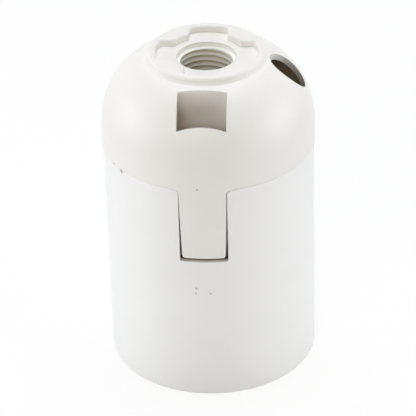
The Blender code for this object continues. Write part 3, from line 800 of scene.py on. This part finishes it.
def screw_form(pole):
    """Slotted cheese-head screw with its thread."""
    tip, top = heights(pole + "_terminal_screw")
    seat = top - SCREW_HEAD_HEIGHT
    core = SCREW_RADIUS - SCREW_THREAD_DEPTH
    rings = rounded([(0, top), (SCREW_HEAD_RADIUS, top, SCREW_HEAD_ROUND),
                     (SCREW_HEAD_RADIUS, seat, MOULD_ROUND), (core, seat)])
    start, end = seat - SCREW_NECK, tip + SCREW_POINT
    levels = round((start - end) / SCREW_PITCH * SCREW_LEVELS)
    rings.append((core, start))
    for level in range(1, levels):
        height = start + (end - start) * level / levels
        rings.append(lambda turn, height=height: (screw_thread_radius(turn, height), height))
    rings += [(core, end), (core * SCREW_POINT_SHARE, tip), (0, tip)]
    item = turned(pole + "_terminal_screw_fine", rings, HOLE_FACETS, closed=False)
    reach = SCREW_HEAD_RADIUS + OVERCUT
    cut(item, bar("driver_slot", -reach, reach, SCREW_SLOT_WIDTH, top - SCREW_SLOT_DEPTH, top + OVERCUT))
    return move_to(item, TERMINAL_ANGLES[pole])


def move_to(item, angle):
    """Carry a form from the axis to its place on the terminals' circle."""
    x, y = on_circle(angle)
    item.data.transform(Matrix.Translation((x * MM, y * MM, 0)))
    return item


def rivet_form(contact):
    """Rivet with domed heads."""
    bottom, top = heights(contact + "_rivet")
    head, upper, lower = RIVET_HEAD_RADIUS, top - RIVET_HEAD_HEIGHT, bottom + RIVET_HEAD_HEIGHT
    rings = rounded([(0, top), (head, top, STAMPED_ROUND), (head, upper), (RIVET_RADIUS, upper),
                     (RIVET_RADIUS, lower), (head, lower), (head, bottom, STAMPED_ROUND), (0, bottom)])
    item = turned(contact + "_rivet_fine", rings, SMALL_FACETS, closed=False)
    return move_to(item, RIVET_ANGLES[contact])


# Spring contacts

def bent_strip(name, path):
    """Strip along a path of (x, z) points, its bends round."""
    corners = [path[0]] + [(*point, BEND_ROUND) for point in path[1:-1]] + [path[-1]]
    line = [Vector(point) for point in rounded(corners)]
    left, right = [], []
    for index, point in enumerate(line):
        ahead = line[min(index + 1, len(line) - 1)] - line[max(index - 1, 0)]
        across = Vector((-ahead.y, ahead.x)).normalized() * LEAF_THICKNESS / 2
        left.append(tuple(point + across))
        right.append(tuple(point - across))
    outline = left + right[::-1]
    item = stacked(name, [(outline, -LEAF_WIDTH / 2), (outline, LEAF_WIDTH / 2)], "XZ")
    drill_through(item, 0, RIVET_RADIUS + HOLE_PLAY, tab_middle, tab_middle)
    return item


def centre_contact_form():
    """Leaf from its rivet to the axis, with a domed button for the lamp's tip."""
    low = tab_middle - CENTRE_DROP
    item = bent_strip("centre_contact_fine", [
        (terminal_circle + TAB_HALF, tab_middle), (terminal_circle - TAB_HALF, tab_middle),
        (CENTRE_HALF, low), (-CENTRE_HALF, low), (-CENTRE_HALF - CENTRE_TAIL[0], low + CENTRE_TAIL[1])])
    face = low - LEAF_THICKNESS / 2
    rings = [(0.0, low), (BUTTON_RADIUS, low)]
    for degrees in BUTTON_ANGLES:
        turn = math.radians(degrees)
        rings.append((BUTTON_RADIUS * math.cos(turn), face - BUTTON_DROP * math.sin(turn)))
    rings.append((0.0, face - BUTTON_DROP))
    join(item, turned("button", rings, SMALL_FACETS, closed=False))
    return turn_to(item, RIVET_ANGLES["centre_contact"])


def side_contact_form(name):
    """Leaf that hangs beside the lamp's metal shell, with a curled foot."""
    leg = lamp_major_radius - SIDE_LEG_INSET
    foot = tab_middle - SIDE_LEG_DROP
    curl = foot - SIDE_CURL_DEPTH
    item = bent_strip(name + "_fine", [
        (terminal_circle - TAB_HALF, tab_middle), (leg, tab_middle), (leg, curl),
        (leg - SIDE_FOOT_REACH / 2, foot - SIDE_FOOT_DEPTH), (leg - SIDE_FOOT_REACH, curl)])
    return turn_to(item, RIVET_ANGLES[name])


# Materials. A relief has its strength, its depth and the round of its edges, in millimetres
MOTTLE_SCALE = 160.0
SATIN_SCALE = 420.0
SATIN_SPREAD = 0.05
GRAIN_SCALE = 4500.0
GRAIN_DETAIL = 3.0
PLASTIC_RELIEF = (0.12, 0.02, 0.18)
PLASTIC_IOR = 1.5
TARNISH_SCALE = 250.0
DRAWN_SCALE = 2600.0
DRAWN_SPREAD = (-0.03, 0.04)
METAL_RELIEF = (0.1, 0.004, 0.1)

# Where the plastic's painted light and shade change its colour: start and end of each change, from the edge
# it goes by
DOME_FADE = (0.93, 0.985)
ENTRY_FLOOR_FADE = (-0.15, -0.05)
ENTRY_SIDE_FADE = (0.0, 0.2)
HOLE_WALL_FADE = (0.02, 0.12)
HOLE_ACROSS_END = 0.5
HOLE_LEFT_SHARE = 0.2
HOLE_RISE_FADE = (0.0, 1.0)
BEHIND_HOLE_DEPTH = 10.5
BEHIND_HOLE_RISE = 3.0
BEHIND_HOLE_FADE = (5.0, 7.0)
BORE_FADE = (0.02, 0.06)
BORE_TOP_FADE = (-0.2, -0.05)
FRONT_FADE = (0.0, 1.0)
WINDOW_SIDE_FADE = (0.02, 0.1)
WINDOW_EDGE_FADE = (-0.15, -0.05)
SHADE_ACROSS = (-4.0, 1.5)
SHADE_UPWARD = (46.0, 54.0)
SHADE_TOP_SHARE = 0.2
THREAD_TOP_FADE = (-0.35, -0.15)
THREAD_ROOT_START = 0.2
THREAD_ROOT_END = 0.08
LEDGE_LEVEL_FADE = (0.3, 0.45)
LEDGE_DEPTH_FADE = (-1.0, -0.5)
LEDGE_WALL_FADE = (0.02, 0.1)
CASING_FADE = (-0.35, -0.1)


def new_material(name):
    """Node material: gives the material, its node tree, its shader and the places on its object."""
    material = bpy.data.materials.new(name)
    material.use_nodes = True
    tree = material.node_tree
    place = tree.nodes.new("ShaderNodeTexCoord").outputs["Object"]
    return material, tree, tree.nodes["Principled BSDF"], place


def add_node(tree, kind, values=(), links=()):
    """Add a node, set some of its inputs, and link others to sockets."""
    node = tree.nodes.new(kind)
    for key, value in dict(values).items():
        node.inputs[key].default_value = value
    for key, socket in dict(links).items():
        tree.links.new(socket, node.inputs[key])
    return node


def noise(tree, place, scale, detail=2.0):
    """Noise on a place. Its scale is per metre."""
    node = add_node(tree, "ShaderNodeTexNoise", {"Scale": scale, "Detail": detail}, {"Vector": place})
    return node.outputs["Fac"]


def spread(tree, value, low, high, start=0.35, end=0.65):
    """Map a value between start and end, by default a noise, to one between low and high."""
    node = add_node(tree, "ShaderNodeMapRange",
                    {"From Min": start, "From Max": end, "To Min": low, "To Max": high}, {"Value": value})
    return node.outputs["Result"]


def falling(tree, value, edge, fade, end=0.0):
    """1, then a change to the end value over a fade that is measured from an edge."""
    return spread(tree, value, 1.0, end, edge + fade[0], edge + fade[1])


def rising(tree, value, edge, fade, start=0.0):
    """The start value, then a change to 1 over a fade that is measured from an edge."""
    return spread(tree, value, start, 1.0, edge + fade[0], edge + fade[1])


def blend(tree, share, first, second):
    """Mix of two colours, each a colour or a socket."""
    node = tree.nodes.new("ShaderNodeMix")
    node.data_type = "RGBA"
    tree.links.new(share, node.inputs[0])
    for socket, value in ((node.inputs[6], first), (node.inputs[7], second)):
        if isinstance(value, tuple):
            socket.default_value = (*value, 1.0)
        else:
            tree.links.new(value, socket)
    return node.outputs[2]


def calculate(tree, operation, first, second=None):
    """Math node on sockets or plain numbers."""
    node = tree.nodes.new("ShaderNodeMath")
    node.operation = operation
    for socket, value in zip(node.inputs, (first, second)):
        if isinstance(value, (int, float)):
            socket.default_value = value
        elif value is not None:
            tree.links.new(value, socket)
    return node.outputs[0]


def product(tree, *shares):
    """Shares multiplied with each other."""
    total = shares[0]
    for share in shares[1:]:
        total = calculate(tree, "MULTIPLY", total, share)
    return total


def vector(tree, operation, place, numbers, output="Vector"):
    """Vector node on a place and three numbers."""
    node = add_node(tree, "ShaderNodeVectorMath", {1: numbers}, {0: place})
    node.operation = operation
    return node.outputs[output]


def separate(tree, place):
    """A place's x, y and z."""
    return add_node(tree, "ShaderNodeSeparateXYZ", {}, {0: place}).outputs


def radius_and_height(tree, place):
    """A place's distance from the upright axis, and its height."""
    flat = vector(tree, "MULTIPLY", place, (1, 1, 0))
    return vector(tree, "LENGTH", flat, (0, 0, 0), "Value"), separate(tree, place)[2]


def within_cap(tree, place):
    """1 inside the cap and its pockets, where painted shade darkens it; 0 on its outer face and the boss.
    """
    radius, height = radius_and_height(tree, place)
    rise = calculate(tree, "MAXIMUM", calculate(tree, "SUBTRACT", height, dome_base), 0.0)
    outward = calculate(tree, "POWER", calculate(tree, "DIVIDE", radius, cap_radius), DOME_POWER)
    upward = calculate(tree, "POWER", calculate(tree, "DIVIDE", rise, DOME_RISE), DOME_POWER)
    deep = falling(tree, calculate(tree, "ADD", outward, upward), 0.0, DOME_FADE)
    below = falling(tree, height, entry_floor, ENTRY_FLOOR_FADE)
    beside = rising(tree, radius, ENTRY_RADIUS, ENTRY_SIDE_FADE)
    return product(tree, deep, below, beside)


def cable_hole_shade(tree, place):
    """Painted shade: 1 on the wall of the cable hole, less on its left, which is the side away from the
    shade.
    """
    aside = vector(tree, "SUBTRACT", place, (cable_hole_middle, 0, 0))
    radius, height = radius_and_height(tree, aside)
    wall = falling(tree, radius, cable_hole_radius, HOLE_WALL_FADE)
    across = (-cable_hole_radius, HOLE_ACROSS_END)
    right = rising(tree, separate(tree, aside)[0], 0.0, across, HOLE_LEFT_SHARE)
    return product(tree, wall, right, rising(tree, height, dome_base, HOLE_RISE_FADE))


def behind_cable_hole_shade(tree, place):
    """Painted warm shade: 1 on the inside of the wall that is seen through the cable hole."""
    seen = (cable_hole_middle, BEHIND_HOLE_DEPTH, cap_bottom + BEHIND_HOLE_RISE)
    away = vector(tree, "DISTANCE", place, seen, "Value")
    return product(tree, falling(tree, away, 0.0, BEHIND_HOLE_FADE), within_cap(tree, place))


def within_bore(tree, radius):
    """1 within the entry's radius."""
    return falling(tree, radius, ENTRY_RADIUS, BORE_FADE)


def entry_bore_light(tree, place):
    """Painted light: 1 in the entry's bore, made lighter to stand for light through its thin wall."""
    radius, height = radius_and_height(tree, place)
    return product(tree, within_bore(tree, radius), falling(tree, height, recess_floor, BORE_TOP_FADE))


def thread_root_shade(tree, place):
    """Painted shade: 1 in the roots of the entry's thread, 0 on its crests and elsewhere."""
    radius, height = radius_and_height(tree, place)
    below = falling(tree, height, entry_floor, THREAD_TOP_FADE)
    start, end = ENTRY_CORE_RADIUS + THREAD_ROOT_START, ENTRY_RADIUS - THREAD_ROOT_END
    return product(tree, below, spread(tree, radius, 0.0, 1.0, start, end), within_bore(tree, radius))


def front_window(tree, place):
    """1 inside the cap in front of the boss."""
    return product(tree, falling(tree, separate(tree, place)[1], -BOSS_RADIUS, FRONT_FADE),
                   within_cap(tree, place))


def window_left_shade(tree, place):
    """Painted shade: 1 on the left side of the front window, 0 on the outer face."""
    across, edge = separate(tree, place)[0], -WINDOW_WIDTH / 2
    side = falling(tree, across, edge, WINDOW_SIDE_FADE)
    inner = rising(tree, across, edge, WINDOW_EDGE_FADE)
    return product(tree, side, inner, front_window(tree, place))


def window_painted_shade(tree, place):
    """Painted shade: 1 low on the left in the front window, where least light comes in."""
    parts = separate(tree, place)
    left = falling(tree, parts[0], 0.0, SHADE_ACROSS)
    low = falling(tree, parts[2], 0.0, SHADE_UPWARD, SHADE_TOP_SHARE)
    return product(tree, left, low, front_window(tree, place))


def slot_ledge_shadow(tree, place):
    """Painted shadow: 1 on the inner part of the slots' ledges, where no light comes in."""
    radius, height = radius_and_height(tree, place)
    off = calculate(tree, "ABSOLUTE", calculate(tree, "SUBTRACT", height, slot_bottom))
    level = falling(tree, off, 0.0, LEDGE_LEVEL_FADE)
    behind = falling(tree, radius, casing_radius, LEDGE_DEPTH_FADE)
    wall = rising(tree, radius, casing_inner, LEDGE_WALL_FADE)
    return product(tree, level, behind, wall)


def casing_inside_shade(tree, place):
    """Painted shade: 1 inside the casing and in its slots, 0 on its outer face."""
    return falling(tree, radius_and_height(tree, place)[0], casing_radius, CASING_FADE)


def specks(tree, place, spots):
    """1 in small spots, each with its place and size."""
    total = 0.0
    for *middle, size in spots:
        away = vector(tree, "DISTANCE", place, middle, "Value")
        total = calculate(tree, "MAXIMUM", falling(tree, away, 0.0, (size / 2, size)), total)
    return total


def set_surface(tree, shader, tint, roughness, height, relief):
    """Link a tint and a roughness, and give a fine relief (strength, depth, round of the edges)."""
    tree.links.new(tint, shader.inputs["Base Color"])
    tree.links.new(roughness, shader.inputs["Roughness"])
    soft_edges = add_node(tree, "ShaderNodeBevel", {"Radius": relief[2] * MM})
    bump = add_node(tree, "ShaderNodeBump", {"Strength": relief[0], "Distance": relief[1] * MM},
                    {"Height": height, "Normal": soft_edges.outputs["Normal"]})
    tree.links.new(bump.outputs["Normal"], shader.inputs["Normal"])


def plastic(name, colour, shade, roughness, pockets=(), spots=()):
    """Moulded white thermoplastic: a faint mottle, a slightly uneven satin and a fine grain.

    Pockets are (where, colour) pairs of painted light and shade: darker and warmer where shade is painted,
    lighter where light is painted. Spots are specks of dirt. Both go by places in millimetres.
    """
    material, tree, shader, place = new_material(name)
    millimetres = vector(tree, "DIVIDE", place, (MM, MM, MM))
    tint = blend(tree, spread(tree, noise(tree, place, MOTTLE_SCALE), 0.0, 1.0), colour, shade)
    # Painted light and shade, laid over the plastic's own tint
    for where, painted_colour in pockets:
        tint = blend(tree, where(tree, millimetres), tint, painted_colour)
    if spots:
        tint = blend(tree, specks(tree, millimetres, spots), tint, SPECK_COLOUR)
    satin = noise(tree, place, SATIN_SCALE)
    uneven = spread(tree, satin, roughness - SATIN_SPREAD, roughness + SATIN_SPREAD)
    grain = noise(tree, place, GRAIN_SCALE, GRAIN_DETAIL)
    set_surface(tree, shader, tint, uneven, grain, PLASTIC_RELIEF)
    shader.inputs["IOR"].default_value = PLASTIC_IOR
    return material


def metal(name, colour, shade, roughness, stretch):
    """Stamped or turned metal: darker patches of tarnish and fine drawn lines."""
    material, tree, shader, place = new_material(name)
    tarnish = spread(tree, noise(tree, place, TARNISH_SCALE), 0.0, 1.0)
    tint = blend(tree, tarnish, colour, shade)
    drawn = add_node(tree, "ShaderNodeMapping", {"Scale": stretch}, {"Vector": place})
    lines = noise(tree, drawn.outputs["Vector"], DRAWN_SCALE, GRAIN_DETAIL)
    uneven = spread(tree, lines, roughness + DRAWN_SPREAD[0], roughness + DRAWN_SPREAD[1])
    set_surface(tree, shader, tint, uneven, lines, METAL_RELIEF)
    shader.inputs["Metallic"].default_value = 1.0
    return material


# Colours of painted shade, painted light and a painted shadow on the plastic; the speck colour is dirt
INSIDE_SHADE_COLOUR = (0.78, 0.755, 0.715)
PAINTED_WINDOW_SHADE = (0.74, 0.62, 0.51)
PAINTED_SIDE_SHADE = (0.45, 0.42, 0.33)
PAINTED_HOLE_SHADE = (0.55, 0.53, 0.50)
PAINTED_BEHIND_HOLE_SHADE = (0.88, 0.72, 0.52)
PAINTED_BORE_LIGHT = (0.94, 0.932, 0.895)
PAINTED_ROOT_SHADE = (0.62, 0.57, 0.44)
PAINTED_LEDGE_SHADOW = (0.10, 0.06, 0.03)
SPECK_COLOUR = (0.45, 0.43, 0.41)
CAP_SPOTS = ((-0.83, -18.18, 41.65, 0.24), (-15.3, -9.85, 41.5, 0.3), (-13.9, -11.7, 41.42, 0.3))
CASING_SPOTS = ((-13.95, -11.38, 41.02, 0.5), (-1.46, -17.94, 21.97, 0.24), (-1.55, -17.93, 20.98, 0.24),
                (0.97, -17.97, 20.98, 0.2))
# The cap's pockets paint shade and light into its colour; the casing's paint shade and a shadow
cap_plastic = plastic("cap_plastic", (0.82, 0.807, 0.778), (0.81, 0.795, 0.763), 0.42,
                      ((within_cap, INSIDE_SHADE_COLOUR), (window_painted_shade, PAINTED_WINDOW_SHADE), (window_left_shade, PAINTED_SIDE_SHADE),
                       (cable_hole_shade, PAINTED_HOLE_SHADE), (behind_cable_hole_shade, PAINTED_BEHIND_HOLE_SHADE),
                       (entry_bore_light, PAINTED_BORE_LIGHT), (thread_root_shade, PAINTED_ROOT_SHADE)), CAP_SPOTS)
casing_plastic = plastic("casing_plastic", (0.852, 0.852, 0.847), (0.842, 0.842, 0.832), 0.45,
                         ((casing_inside_shade, INSIDE_SHADE_COLOUR), (slot_ledge_shadow, PAINTED_LEDGE_SHADOW)), CASING_SPOTS)
inner_plastic = plastic("inner_plastic", (0.75, 0.68, 0.57), (0.73, 0.66, 0.54), 0.55)
brass = metal("terminal_brass", (0.78, 0.60, 0.30), (0.72, 0.54, 0.26), 0.33, (1.0, 6.0, 1.0))
bronze = metal("contact_bronze", (0.76, 0.52, 0.30), (0.70, 0.47, 0.27), 0.30, (5.0, 1.0, 1.0))
steel = metal("plated_steel", (0.72, 0.71, 0.69), (0.60, 0.59, 0.57), 0.30, (1.0, 1.0, 6.0))


# Stage. The lamps' sizes and places are in metres

CAMERA_AZIMUTH = 4.3
CAMERA_ELEVATION = 32.09
CAMERA_DISTANCE = 435.3
CAMERA_AIM_HEIGHT = 25.2
CAMERA_AIM_RIGHT = -0.46
CAMERA_AIM_UP = 1.395
CAMERA_ROLL = -1.64
CAMERA_LENS = 216.37
LAMP_AIM = Vector((0, 0, 0.03))
FLOOR_HALF = 4000.0
FLOOR_DROP = 0.05


def aimed(place, target, roll=0.0):
    """Matrix of a camera or lamp at a place, looking at a target, rolled by degrees."""
    ahead = (target - place).normalized()
    right = ahead.cross(Vector((0, 0, 1))).normalized()
    up = right.cross(ahead)
    turn = math.radians(roll)
    across = right * math.cos(turn) + up * math.sin(turn)
    above = up * math.cos(turn) - right * math.sin(turn)
    matrix = Matrix((across, above, -ahead)).transposed().to_4x4()
    matrix.translation = place
    return matrix


def toward(azimuth, elevation):
    """Direction from the holder, by degrees. Azimuth 0 is in front, at -Y, and 90 at +X."""
    turn, rise = math.radians(azimuth), math.radians(elevation)
    return Vector((math.sin(turn) * math.cos(rise), -math.cos(turn) * math.cos(rise), math.sin(rise)))


def place_in_scene(name, data, matrix):
    """New camera or lamp at its place."""
    item = bpy.data.objects.new(name, data)
    bpy.context.scene.collection.objects.link(item)
    item.matrix_world = matrix
    return item


def place_camera():
    """Camera that sees the holder as the photo does."""
    middle = Vector((0, 0, CAMERA_AIM_HEIGHT)) * MM
    back = toward(CAMERA_AZIMUTH, CAMERA_ELEVATION)
    place = middle + back * CAMERA_DISTANCE * MM
    right = (-back).cross(Vector((0, 0, 1))).normalized()
    up = right.cross(-back)
    target = middle + (right * CAMERA_AIM_RIGHT + up * CAMERA_AIM_UP) * MM
    data = bpy.data.cameras.new("camera")
    data.lens = CAMERA_LENS
    data.clip_start = 0.01
    data.clip_end = 20.0
    bpy.context.scene.camera = place_in_scene("camera", data, aimed(place, target, CAMERA_ROLL))


def soft_box(name, azimuth, elevation, distance, size, power, colour):
    """Square area lamp that faces the holder."""
    data = bpy.data.lights.new(name, "AREA")
    data.shape = "SQUARE"
    data.size = size
    data.energy = power
    data.color = colour
    matrix = aimed(LAMP_AIM + toward(azimuth, elevation) * distance, LAMP_AIM)
    place_in_scene(name, data, matrix).visible_camera = False


def seen_directly(tree):
    """1 for camera, glossy and transmission rays, which see the plain white backdrop."""
    path = tree.nodes.new("ShaderNodeLightPath")
    total = path.outputs["Is Camera Ray"]
    for name in ("Is Glossy Ray", "Is Transmission Ray"):
        total = calculate(tree, "MAXIMUM", total, path.outputs[name])
    return total


def white_world(ambient, colour):
    """World that lights softly and shows plain white."""
    world = bpy.data.worlds.new("studio")
    bpy.context.scene.world = world
    world.use_nodes = True
    tree = world.node_tree
    tree.nodes.clear()
    light = add_node(tree, "ShaderNodeBackground", {"Color": (*colour, 1.0), "Strength": ambient})
    white = add_node(tree, "ShaderNodeBackground", {"Color": (1.0, 1.0, 1.0, 1.0), "Strength": 1.0})
    mix = add_node(tree, "ShaderNodeMixShader", {}, {0: seen_directly(tree), 1: light.outputs[0],
                                                     2: white.outputs[0]})
    add_node(tree, "ShaderNodeOutputWorld", {}, {"Surface": mix.outputs[0]})


def white_floor(colour, white_share):
    """Pale floor that keeps the shadow. Part of what the camera sees there is plain white."""
    mesh = bpy.data.meshes.new("floor")
    corners = [(*corner, 0) for corner in rectangle(-FLOOR_HALF, -FLOOR_HALF, FLOOR_HALF, FLOOR_HALF, 0)]
    mesh.from_pydata(in_metres(corners), [], [(0, 1, 2, 3)])
    item = bpy.data.objects.new("floor", mesh)
    item.location.z = -FLOOR_DROP * MM
    bpy.context.scene.collection.objects.link(item)
    material, tree = new_material("floor")[:2]
    tree.nodes.clear()
    plain = add_node(tree, "ShaderNodeBsdfDiffuse", {"Color": (*colour, 1.0)})
    white = add_node(tree, "ShaderNodeEmission", {"Color": (1.0, 1.0, 1.0, 1.0), "Strength": 1.0})
    share = product(tree, seen_directly(tree), white_share)
    mix = add_node(tree, "ShaderNodeMixShader", {}, {0: share, 1: plain.outputs[0], 2: white.outputs[0]})
    add_node(tree, "ShaderNodeOutputMaterial", {}, {"Surface": mix.outputs[0]})
    mesh.materials.append(material)


bpy.context.scene.view_settings.view_transform = "Standard"
place_camera()
white_world(0.04, (1.0, 0.985, 0.955))
white_floor((0.95, 0.95, 0.945), 0.86)
soft_box("left_box", -82, 5, 0.6, 0.5, 2.76, (0.92, 0.945, 1.0))
soft_box("right_box", 84, 5, 0.6, 0.5, 2.88, (0.965, 0.97, 1.0))
soft_box("top_box", 180, 72, 0.7, 0.6, 4.12, (0.96, 0.98, 1.0))
soft_box("front_box", -15, 33, 0.8, 0.5, 2.08, (1.0, 0.955, 0.865))

show(casing_form(), "holder", "casing_plastic", casing_plastic, "casing")
show(cap_form(), "holder", "cap_plastic", cap_plastic, "cap")
show(sleeve_form(), "holder", "inner_plastic", inner_plastic, "lamp_sleeve")
show(carrier_form(), "holder", "inner_plastic", inner_plastic, "contact_carrier")
for pole in TERMINAL_ANGLES:
    show(strap_form(pole), "holder", "terminal_brass", brass, pole + "_strap")
    show(plate_form(pole), pole + "_plate", "plated_steel", steel, pole + "_clamp_plate")
    show(screw_form(pole), pole + "_screw", "plated_steel", steel, pole + "_terminal_screw")
for name in RIVET_ANGLES:
    show(rivet_form(name), "holder", "terminal_brass", brass, name + "_rivet")
    form = centre_contact_form() if name == "centre_contact" else side_contact_form(name)
    show(form, name, "contact_bronze", bronze, name)

for tool in list(workshop.objects):
    bpy.data.objects.remove(tool, do_unlink=True)
bpy.data.collections.remove(workshop)
